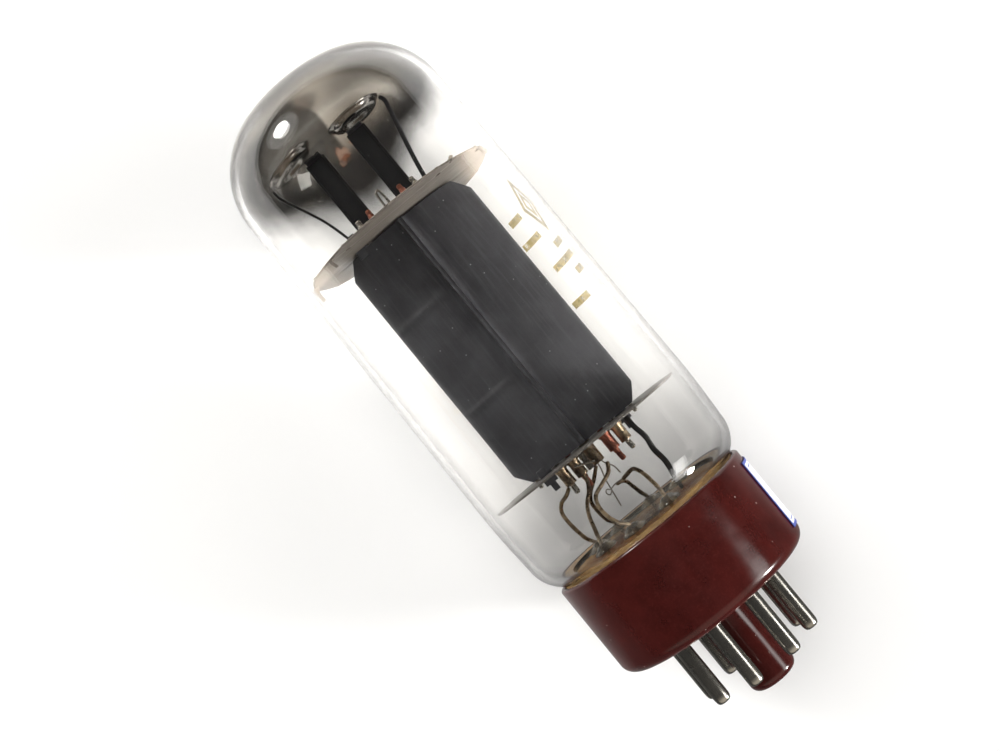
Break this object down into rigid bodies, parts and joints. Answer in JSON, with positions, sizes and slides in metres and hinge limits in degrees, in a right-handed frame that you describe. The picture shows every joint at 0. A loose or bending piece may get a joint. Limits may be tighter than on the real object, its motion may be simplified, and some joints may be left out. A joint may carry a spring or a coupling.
{
  "type": "vacuum tube",
  "caption": "Glass power vacuum tube with a straight domed bulb, blackened anode, getter mirror and a maroon octal base with pins and a locating key.",
  "frame": {"origin": "centre of the flat underside of the base, on the tube's axis, where the tube seats on its socket", "axes": "+Z along the tube's axis from the base to the dome, -Y towards the front seam of the anode"},
  "size_m": [0.036, 0.036, 0.1101],
  "materials": {
    "bulb_glass": "clear polished",
    "stem_glass": "clear pressed",
    "getter_film": "evaporated metal mirror",
    "phenolic": "polished moulded phenolic",
    "pin_plating": "bright nickel plating",
    "cement": "fired resin cement",
    "sticker_paper": "coated paper with a coloured border",
    "mica_sheet": "satin natural mica",
    "anode_carbon": "matte carbonised nickel",
    "getter_strip_metal": "matte carbonised nickel",
    "copper_post": "copper, slightly oxidised",
    "nickel_bright": "drawn nickel",
    "nickel_brown": "heat-tinted nickel wire",
    "heater_coating": "chalky alumina coating"
  },
  "bodies": {
    "root": {"glass_envelope": "bulb_glass", "getter_mirror": "getter_film", "stem_disc": "stem_glass", "base_shell": "phenolic", "cement_ring": "cement", "base_sticker": "sticker_paper", "pin_1": "pin_plating", "pin_2": "pin_plating", "pin_3": "pin_plating", "pin_4": "pin_plating", "pin_5": "pin_plating", "pin_6": "pin_plating", "pin_7": "pin_plating", "pin_8": "pin_plating", "top_mica": "mica_sheet", "bottom_mica": "mica_sheet", "anode_left_half": "anode_carbon", "anode_right_half": "anode_carbon", "control_grid": "copper_post", "screen_grid": "nickel_bright", "suppressor_grid": "nickel_bright", "cathode_sleeve": "nickel_bright", "heater": "heater_coating", "cathode_stay": "nickel_bright", "control_clip_left": "nickel_brown", "control_clip_right": "nickel_brown", "screen_clip_left": "nickel_brown", "screen_clip_right": "nickel_brown", "getter_strip_left": "getter_strip_metal", "getter_strip_right": "getter_strip_metal", "getter_dish_left": "nickel_bright", "getter_dish_right": "nickel_bright", "getter_brace_left": "nickel_bright", "getter_brace_right": "getter_strip_metal", "screen_lead": "nickel_brown", "control_lead": "nickel_brown", "suppressor_lead": "nickel_brown", "cathode_lead": "nickel_brown", "heater_lead_rear": "nickel_brown", "heater_lead_front": "nickel_brown", "anode_lead": "anode_carbon"}
  },
  "joints": []
}
